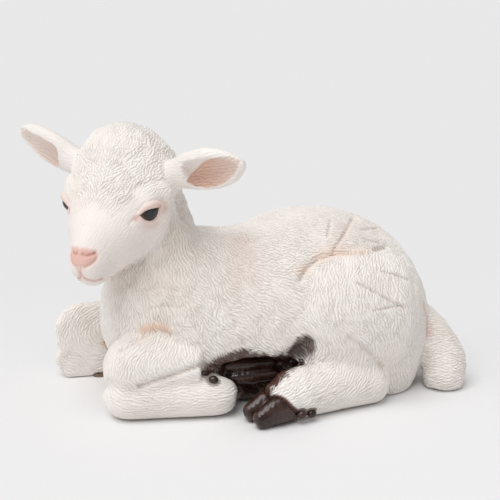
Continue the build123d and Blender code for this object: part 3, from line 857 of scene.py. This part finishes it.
# Carved wool: short wave trains laid across the lie of the comb
rng = np.random.default_rng(RANDOM_SEED + 2)
locks = rng.choice(len(points), LOCK_COUNT, replace=False)
lie = np.zeros((LOCK_COUNT, 3))
for group, strokes in COMBS:
    mine = np.isin(labels[locks], group)
    lie[mine] = comb_direction(folded[locks[mine]], strokes, trace)
mirrored = body_flip[locks]
lie[mirrored, 1] *= -1
mirrored = head_flip[locks]
lie[mirrored] -= 2 * (lie[mirrored] @ HEAD_LEFT)[:, None] * HEAD_LEFT
for label in EAR_POSES:
    lie[labels[locks] == label] = ear_frame(label)[1]
lock_normals = normals[locks]
lie = unit(lie - (lie * lock_normals).sum(1, keepdims=True) * lock_normals)
lock_cap, lock_face, lock_ear = cap[locks], face[locks], on_ear[locks]
sway = 0.45 * soft_noise(points[locks], 5.5, RANDOM_SEED + 3)
sway += (0.28 + 0.2 * lock_cap - 0.15 * lock_ear) * rng.standard_normal(LOCK_COUNT)
lie = lie * np.cos(sway)[:, None] + np.cross(lock_normals, lie) * np.sin(sway)[:, None]
pitch = (1.62 - 0.15 * lock_face) * np.exp(0.2 * rng.standard_normal(LOCK_COUNT))
half_length = 2.1 - 0.4 * lock_cap + 0.5 * lock_ear
half_width = np.full(LOCK_COUNT, 0.95)
field = wave_trains(points, points[locks], lock_normals, lie, pitch, half_length, half_width, RANDOM_SEED + 4)
strength = np.abs(field)
strand = field / np.maximum(strength, 1e-6)
ridge = np.abs(np.cos(np.angle(field) / 2))
firm = np.clip(strength / np.median(strength), 0, 1) ** 0.5

depth = np.zeros(len(points))
for label, value in WOOL_DEPTHS.items():
    depth[labels == label] = value
depth = depth * (1 - face) + 0.10 * face
depth = depth * step(0.4, 2.4, lid_gap) * ~in_eye * (1 + 0.35 * soft_noise(folded, 12.0, RANDOM_SEED + 5))
depth *= 1 + 0.5 * soft_noise(folded, 3.0, RANDOM_SEED + 8)
depth = relax(depth, edges, 8) * step(0.8, 2.6, points[:, 2])
lumps = soft_noise(folded, 8.0, RANDOM_SEED + 6) + soft_noise(folded, 4.0, RANDOM_SEED + 7)
lumps *= (0.8 + 1.0 * cap) * depth
points = points + normals * (depth * 1.5 * (ridge - 0.62) * firm + lumps)[:, None]


# Paint


def wash(strokes):
    shade = np.zeros(len(points))
    for pixels, width, value in strokes:
        gap = far_from(folded, trace(dense(pixels)), width * 2.6)
        shade = np.maximum(shade, value * np.exp(-((gap / width) ** 2)) * (gap < width * 2.55))
    return shade


def node_gap(some, names, reach):
    """How far some of the points are from these CAD nodes, up to reach."""
    gap = np.full(len(some), float(reach))
    depsgraph = bpy.context.evaluated_depsgraph_get()
    for name in names:
        tree = BVHTree.FromObject(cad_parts[name], depsgraph)
        for k, at in enumerate(points[some] * MM):
            found = tree.find_nearest(Vector(at), reach * MM)[3]
            if found is not None:
                gap[k] = min(gap[k], found / MM)
    return gap


pink = wash(PINK_WASHES)
nose = on_head & inside_outline(to_pixels(folded), NOSE_OUTLINE) & (along > 20)
pink = np.maximum(pink, 0.78 * relax(nose.astype(float), edges, 14))
peach = wash(PEACH_WASHES)
# Painted shade in the creases and under the jaw, with brown dust at the near foreleg's end.
shade = wash(SHADE_AND_DUST_WASHES)
# The salmon fades towards each ear's tip; the far ear's is paler than the near ear's: painted light, both ears
# carrying the same paint.
salmon = bare * (1 - 0.45 * step(0.4, 0.95, ear_share)) * np.where(labels == LEFT_EAR, 0.85, 0.5)
salmon = relax(salmon, edges, 4)
ragged = 0.10 * rough_edge + 0.12 * (ridge - 0.5) * firm
brown = np.zeros(len(points))
for middle in POCKETS:
    deep = np.linalg.norm((points - BASE_MIDDLE - middle) / POCKET_HALVES, axis=1)
    pocket = step(1.30, 1.00, deep + 1.2 * ragged) * ~np.isin(labels, (LEFT_FORE, RIGHT_FORE))
    brown = np.maximum(brown, pocket)
pixels = to_pixels(points)
for outline in BROWN_FIELDS:
    field = inside_outline(pixels, outline) & (points[:, 1] < BODY_MIDDLE) & (labels != TAIL)
    brown = np.maximum(brown, 0.92 * step(0.12, 0.95, relax(field.astype(float), edges, 60) - 2.0 * ragged))
for kinds, names, reach, strong in (
    ((LEFT_FORE, RIGHT_FORE), ("left_fore_hoof", "right_fore_hoof"), 1.5, 1.0),
    ((LEFT_FORE, RIGHT_FORE), ("dewclaws",), 2.6, 0.6),
    ((LEFT_HIND, RIGHT_HIND), ("left_hind_hoof",), 2.2, 1.0),
    ((LEFT_HIND, RIGHT_HIND), ("left_fore_hoof", "right_hind_hoof"), 2.0, 1.0),
    ((LEFT_HIND,), ("dewclaws",), 2.0, 0.8),
    ((TORSO,), ("left_fore_hoof", "right_fore_hoof", "right_hind_hoof"), 5.0, 1.0),
):
    some = (np.isin(labels, kinds) & (points[:, 2] < 48)).nonzero()[0]
    gap = node_gap(some, names, reach)
    brown[some] = np.maximum(brown[some], strong * step(0.95, 0.25, gap / reach + 1.2 * ragged[some]))

# Ground flat, and hollowed where the base plate is let in
base_half = (BASE_HIGH - BASE_LOW) / 2 + 0.2
points[:, 2] = np.maximum(points[:, 2], 0.5)
under = (((points - BASE_MIDDLE)[:, :2] / base_half[:2]) ** 2).sum(1) < 1
points[under & (points[:, 2] < 3), 2] = 4.7
place_points(mesh, points)
normals = normals_of(mesh)

for name, values in (
    ("groove", (1 - ridge) * firm * np.clip(depth / 0.3, 0, 1)),
    ("strand_x", strand.real),
    ("strand_y", strand.imag),
    ("carving", np.clip(depth / 0.4, 0, 1) * firm),
    ("pink", pink),
    ("peach", peach),
    ("shade", shade),
    ("salmon", salmon),
    ("brown", brown),
    ("face", face),
):
    write_values(mesh, name, values)
write_vectors(mesh, "outward", normals)


# Materials


def nodes_of(name):
    material = bpy.data.materials.new(name)
    material.use_nodes = True
    tree = material.node_tree
    return material, tree, tree.nodes["Principled BSDF"]


def attribute(tree, name):
    node = tree.nodes.new("ShaderNodeAttribute")
    node.attribute_name = name
    return node.outputs["Fac"]


def object_noise(tree, scale, detail=3.0, stretch=(1, 1, 1)):
    place = tree.nodes.new("ShaderNodeTexCoord")
    turn = tree.nodes.new("ShaderNodeMapping")
    turn.inputs["Scale"].default_value = stretch
    noise = tree.nodes.new("ShaderNodeTexNoise")
    noise.inputs["Scale"].default_value = scale
    noise.inputs["Detail"].default_value = detail
    tree.links.new(place.outputs["Object"], turn.inputs["Vector"])
    tree.links.new(turn.outputs["Vector"], noise.inputs["Vector"])
    return noise.outputs["Fac"]


def sum_up(tree, operation, a, b=None, clamp=False):
    node = tree.nodes.new("ShaderNodeMath")
    node.operation = operation
    node.use_clamp = clamp
    for value, socket in zip((a, b), node.inputs):
        if value is None:
            continue
        if isinstance(value, (int, float)):
            socket.default_value = value
        else:
            tree.links.new(value, socket)
    return node.outputs["Value"]


def blend_colors(tree, share, first, second):
    node = tree.nodes.new("ShaderNodeMix")
    node.data_type = "RGBA"
    sockets = (node.inputs["Factor"], node.inputs[6], node.inputs[7])
    for socket, value in zip(sockets, (share, first, second)):
        if isinstance(value, tuple):
            socket.default_value = (*value, 1)
        elif isinstance(value, (int, float)):
            socket.default_value = value
        else:
            tree.links.new(value, socket)
    return node.outputs[2]


def spread(tree, value, low, high, to_low=0.0, to_high=1.0):
    node = tree.nodes.new("ShaderNodeMapRange")
    tree.links.new(value, node.inputs["Value"])
    for key, number in zip(("From Min", "From Max", "To Min", "To Max"), (low, high, to_low, to_high)):
        node.inputs[key].default_value = number
    return node.outputs["Result"]


def bump(tree, shader, height, strength, distance):
    node = tree.nodes.new("ShaderNodeBump")
    node.inputs["Strength"].default_value = strength
    node.inputs["Distance"].default_value = distance
    tree.links.new(height, node.inputs["Height"])
    tree.links.new(node.outputs["Normal"], shader.inputs["Normal"])


def wool_look():
    material, tree, shader = nodes_of("painted_wool")
    angle = sum_up(tree, "ARCTAN2", attribute(tree, "strand_y"), attribute(tree, "strand_x"))
    ridge = sum_up(tree, "ABSOLUTE", sum_up(tree, "COSINE", sum_up(tree, "MULTIPLY", angle, 0.5)))
    carving = attribute(tree, "carving")
    cloud = object_noise(tree, 45.0)
    grain = object_noise(tree, 900.0, 4.0)
    color = blend_colors(tree, spread(tree, cloud, 0.35, 0.65), (0.872, 0.82, 0.768), (0.905, 0.865, 0.825))
    # Painted shade: the wool's grooves are darkened towards a warm grey-brown, deeper carving darker.
    painted_groove_shade = sum_up(tree, "MULTIPLY", spread(tree, ridge, 0.75, 0.05), carving)
    color = blend_colors(tree, sum_up(tree, "MULTIPLY", painted_groove_shade, 0.45), color, (0.56, 0.45, 0.37))
    # Painted shade in the creases and under the jaw, and brown dust at the foreleg's end, in one grey-brown.
    color = blend_colors(tree, attribute(tree, "shade"), color, (0.56, 0.46, 0.38))
    bare = sum_up(tree, "MULTIPLY", attribute(tree, "face"), 0.35)
    color = blend_colors(tree, bare, color, (0.84, 0.74, 0.69))
    color = blend_colors(tree, attribute(tree, "pink"), color, (0.70, 0.38, 0.31))
    color = blend_colors(tree, attribute(tree, "peach"), color, (0.84, 0.55, 0.38))
    # The bare inside of the ears in salmon, darker in the grooves of the carving: painted shade.
    inner = blend_colors(tree, spread(tree, ridge, 0.2, 0.9), (0.58, 0.32, 0.22), (0.74, 0.47, 0.36))
    color = blend_colors(tree, attribute(tree, "salmon"), color, inner)
    dark = blend_colors(tree, spread(tree, cloud, 0.35, 0.7), (0.034, 0.013, 0.009), (0.095, 0.040, 0.026))
    brown = attribute(tree, "brown")
    color = blend_colors(tree, brown, color, dark)
    tree.links.new(color, shader.inputs["Base Color"])
    rough = spread(tree, grain, 0.3, 0.7, 0.50, 0.62)
    rough = sum_up(tree, "ADD", rough, sum_up(tree, "MULTIPLY", brown, -0.26))
    tree.links.new(rough, shader.inputs["Roughness"])
    height = sum_up(tree, "MULTIPLY", ridge, carving)
    height = sum_up(tree, "ADD", height, sum_up(tree, "MULTIPLY", grain, 0.12))
    bump(tree, shader, height, 0.5, 0.0006)
    shader.inputs["Specular IOR Level"].default_value = 0.25
    return material


def hoof_look():
    material, tree, shader = nodes_of("painted_hoof")
    streak = object_noise(tree, 260.0, 4.0, (0.25, 1, 1))
    cloud = object_noise(tree, 70.0)
    color = blend_colors(tree, spread(tree, streak, 0.4, 0.7), (0.020, 0.008, 0.006), (0.062, 0.027, 0.019))
    color = blend_colors(tree, spread(tree, cloud, 0.5, 0.75, 0.0, 0.5), color, (0.10, 0.05, 0.036))
    tree.links.new(color, shader.inputs["Base Color"])
    tree.links.new(spread(tree, streak, 0.3, 0.7, 0.16, 0.28), shader.inputs["Roughness"])
    bump(tree, shader, streak, 0.25, 0.0003)
    return material


def eye_look():
    material, tree, shader = nodes_of("eye_glass")
    ring = attribute(tree, "ring")
    cloud = object_noise(tree, 400.0)
    iris = blend_colors(tree, spread(tree, cloud, 0.3, 0.7), (0.010, 0.008, 0.007), (0.032, 0.017, 0.010))
    color = blend_colors(tree, spread(tree, ring, 0.30, 0.62), (0.022, 0.028, 0.032), iris)
    color = blend_colors(tree, spread(tree, ring, 0.86, 1.0, 0.0, 0.7), color, (0.10, 0.05, 0.035))
    tree.links.new(color, shader.inputs["Base Color"])
    tree.links.new(spread(tree, cloud, 0.3, 0.7, 0.06, 0.10), shader.inputs["Roughness"])
    shader.inputs["Specular IOR Level"].default_value = 0.35
    return material


def grained_look(name, first, second, scale, rough, stretch=(1, 1, 1), metal=0.0, relief=0.3):
    material, tree, shader = nodes_of(name)
    grain = object_noise(tree, scale, 5.0, stretch)
    color = blend_colors(tree, spread(tree, grain, 0.3, 0.7), first, second)
    tree.links.new(color, shader.inputs["Base Color"])
    tree.links.new(spread(tree, grain, 0.3, 0.7, rough, rough + 0.12), shader.inputs["Roughness"])
    shader.inputs["Metallic"].default_value = metal
    bump(tree, shader, grain, relief, 0.0003)
    return material


# One piece for each casting


def finish_piece(ob, slot, material, *nodes):
    ob.data.materials.clear()
    ob.data.materials.append(material)
    ob.data.polygons.foreach_set("material_index", np.zeros(len(ob.data.polygons), np.int32))
    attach(ob, "root")
    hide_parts(*nodes)


def turn_in_borders(ob, reach=2.5):
    """Closes a parted piece with a rim turned in from its open borders and a fan over each."""
    mesh = ob.data
    outward = read_vectors(mesh, "outward")
    shell = bmesh.new()
    shell.from_mesh(mesh)
    verts = list(shell.verts)
    ahead = {}
    for edge in shell.edges:
        if edge.is_boundary:
            loop = edge.link_loops[0]
            ahead.setdefault(loop.link_loop_next.vert.index, []).append(loop.vert.index)
    for start in list(ahead):
        while ahead[start]:
            run = [start]
            at = ahead[start].pop()
            while at != start:
                run.append(at)
                at = ahead[at].pop()
            inner = {}
            for index in run:
                inner[index] = shell.verts.new(verts[index].co - Vector(outward[index]) * reach * MM)
            middle = shell.verts.new(sum((inner[index].co for index in run), Vector()) / len(run))
            for first, second in zip(run, run[1:] + run[:1]):
                a, b = verts[first], verts[second]
                shell.faces.new((a, b, inner[second], inner[first])).smooth = True
                shell.faces.new((inner[first], inner[second], middle)).smooth = True
    shell.to_mesh(mesh)
    shell.free()
    kept = np.zeros((len(mesh.vertices), 3), np.float32)
    kept[: len(outward)] = outward
    mesh.normals_split_custom_set_from_vertices(kept.tolist())


wool = wool_look()
piece_of = face_labels.copy()
middles = points[corners].mean(1)[:, 0]
torso_faces = piece_of == TORSO
TORSO_NAMES = ("torso_front", "torso_middle", "torso_rear")
cuts = np.quantile(middles[torso_faces], (1 / 3, 2 / 3))
for k, cut in enumerate(cuts):
    piece_of[torso_faces & (middles > cut)] = len(CASTINGS) + k
piece_names = (TORSO_NAMES[0],) + CASTINGS[1:] + TORSO_NAMES[1:]
mesh.materials.clear()
mesh.polygons.foreach_set("material_index", piece_of.astype(np.int32))
layer = mesh.attributes.new("piece", "INT", "FACE")
layer.data.foreach_set("value", piece_of.astype(np.int32))
only(clay)
bpy.ops.object.mode_set(mode="EDIT")
bpy.ops.mesh.select_all(action="SELECT")
bpy.ops.mesh.separate(type="MATERIAL")
bpy.ops.object.mode_set(mode="OBJECT")
for ob in list(bpy.context.selected_objects):
    number = ob.data.attributes["piece"].data[0].value
    name = piece_names[number]
    ob.name = "carved_" + name
    ob.data.name = ob.name
    turn_in_borders(ob)
    finish_piece(ob, "painted_wool", wool, "torso" if name in TORSO_NAMES else name)


# Eyes: domes in almond openings


def make_eyes():
    look = eye_look()
    middle = np.mean(EYE_OUTLINE, axis=0)
    rim = np.array(dense(EYE_OUTLINE + EYE_OUTLINE[:1], 0.5))
    bearings = np.arctan2(rim[:, 1] - middle[1], rim[:, 0] - middle[0])
    sizes = np.hypot(rim[:, 0] - middle[0], rim[:, 1] - middle[1])
    turned = np.argsort(bearings)
    ball = EYE_MIDDLE - FACE_AXIS * 2.3 + HEAD_LEFT * 24.15
    for side, name in ((1, "left_eye"), (-1, "right_eye")):
        only()
        bpy.ops.mesh.primitive_uv_sphere_add(segments=64, ring_count=40, radius=1.0)
        ob = bpy.context.object
        ob.name = "glass_" + name
        places = points_of(ob.data) * MM
        ring = np.arccos(np.clip(places[:, 2], -1, 1)) / (math.pi / 2)
        bearing = np.arctan2(places[:, 1], places[:, 0])
        size = np.interp(bearing, bearings[turned], sizes[turned], period=2 * math.pi)
        share = np.where(ring <= 1, ring, np.maximum(2 - ring, 0)) * 1.06
        pixels = middle + np.stack([np.cos(bearing), np.sin(bearing)], 1) * (share * size)[:, None]
        spots = trace(pixels)
        out = unit(spots - ball)
        dome = 0.9 * (1 - np.minimum(share, 1) ** 2)
        lift = np.where(ring <= 1, dome, -3.0 * np.sqrt(np.maximum(ring - 1, 0))) - 0.35
        spots = spots + out * lift[:, None]
        if side < 0:
            spots = spots - 2 * ((spots - EYE_MIDDLE) @ HEAD_LEFT)[:, None] * HEAD_LEFT
        place_points(ob.data, spots)
        bpy.ops.object.mode_set(mode="EDIT")
        bpy.ops.mesh.select_all(action="SELECT")
        bpy.ops.mesh.normals_make_consistent(inside=False)
        bpy.ops.object.mode_set(mode="OBJECT")
        bpy.ops.object.shade_smooth()
        off = (pixels - middle - np.array([0.5, -0.5])) / 9.0
        painted = np.maximum(np.hypot(off[:, 0], off[:, 1]), ring**6)
        write_values(ob.data, "ring", np.where(ring <= 1, painted, 1.0))
        finish_piece(ob, "eye_glass", look, name)


def make_hooves():
    look = hoof_look()
    for name in ("left_fore_hoof", "right_fore_hoof", "left_hind_hoof", "right_hind_hoof", "dewclaws"):
        ob = clay_of((name,))
        ob.name = "carved_" + name
        ob.data.name = ob.name
        apply_modifier(ob, "REMESH", mode="VOXEL", voxel_size=0.5 * MM)
        hoof, hoof_edges = points_of(ob.data), edges_of(ob.data)
        hoof = relax(hoof, hoof_edges, 14, (hoof[:, 2] > 0.9).astype(float))
        place_points(ob.data, hoof)
        wave = np.sin(hoof[:, 0] * 2 * math.pi / 3.1 + 2.5 * soft_noise(hoof, 6.0, RANDOM_SEED + 9))
        swell = 0.05 * wave + 0.22 * soft_noise(hoof, 5.0, RANDOM_SEED + 10)
        swell *= step(0.6, 2.0, hoof[:, 2])
        place_points(ob.data, hoof + normals_of(ob.data) * swell[:, None])
        only(ob)
        bpy.ops.object.shade_smooth()
        finish_piece(ob, "painted_hoof", look, name)


make_eyes()
make_hooves()
resin = grained_look("base_resin", (0.70, 0.66, 0.60), (0.80, 0.77, 0.72), 350.0, 0.55)
felt = grained_look("felt", (0.14, 0.09, 0.06), (0.26, 0.17, 0.12), 1400.0, 0.85, relief=0.8)
wood = grained_look("dowel_wood", (0.55, 0.39, 0.22), (0.68, 0.52, 0.33), 500.0, 0.5, (1, 0.1, 1))
steel = grained_look("pin_steel", (0.50, 0.50, 0.51), (0.60, 0.60, 0.61), 2500.0, 0.3, (1, 1, 0.1), 1.0)
for material, nodes in (
    (resin, ("base_plate",)),
    (felt, ("felt_pads",)),
    (wood, ("leg_dowels",)),
    (steel, ("ear_pins", "tail_pin")),
):
    for name in nodes:
        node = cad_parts[name]
        for entry in node.material_slots:
            entry.material = material


# Studio


def make_studio():
    material, tree, shader = nodes_of("floor")
    place = tree.nodes.new("ShaderNodeTexCoord")
    parts = tree.nodes.new("ShaderNodeSeparateXYZ")
    tree.links.new(place.outputs["Object"], parts.inputs["Vector"])
    # Painted light: the floor is lighter near the camera and darker towards the back, for light that fades
    # across it.
    painted_falloff = spread(tree, parts.outputs["Y"], -0.30, 0.25)
    color = blend_colors(tree, painted_falloff, (0.865, 0.86, 0.865), (0.80, 0.795, 0.80))
    tree.links.new(color, shader.inputs["Base Color"])
    shader.inputs["Roughness"].default_value = 0.9
    shader.inputs["Specular IOR Level"].default_value = 0.0
    only()
    bpy.ops.mesh.primitive_grid_add(x_subdivisions=8, y_subdivisions=8, size=160.0, location=(0, 60, 0))
    floor = bpy.context.object
    bpy.ops.object.transform_apply(location=True, rotation=True, scale=True)
    floor.name = "floor"
    floor.data.materials.append(material)
    world = bpy.data.worlds.new("studio")
    bpy.context.scene.world = world
    world.use_nodes = True
    world.node_tree.nodes["Background"].inputs["Color"].default_value = (1, 1, 1, 1)
    world.node_tree.nodes["Background"].inputs["Strength"].default_value = 0.46
    for name, way, power, soft in (
        ("key", (0.35, 0.30, -1.0), 1.68, 45.0),
        ("left", (1.0, 0.35, -0.35), 0.35, 50.0),
        ("glint", (0.25, 0.60, -0.75), 0.16, 5.0),
    ):
        lamp = bpy.data.lights.new(name, "SUN")
        lamp.energy = power
        lamp.angle = math.radians(soft)
        ob = bpy.data.objects.new(name + "_lamp", lamp)
        ob.rotation_euler = Vector(way).to_track_quat("-Z", "Y").to_euler()
        bpy.context.scene.collection.objects.link(ob)
    bpy.context.scene.view_settings.view_transform = "Standard"


make_studio()
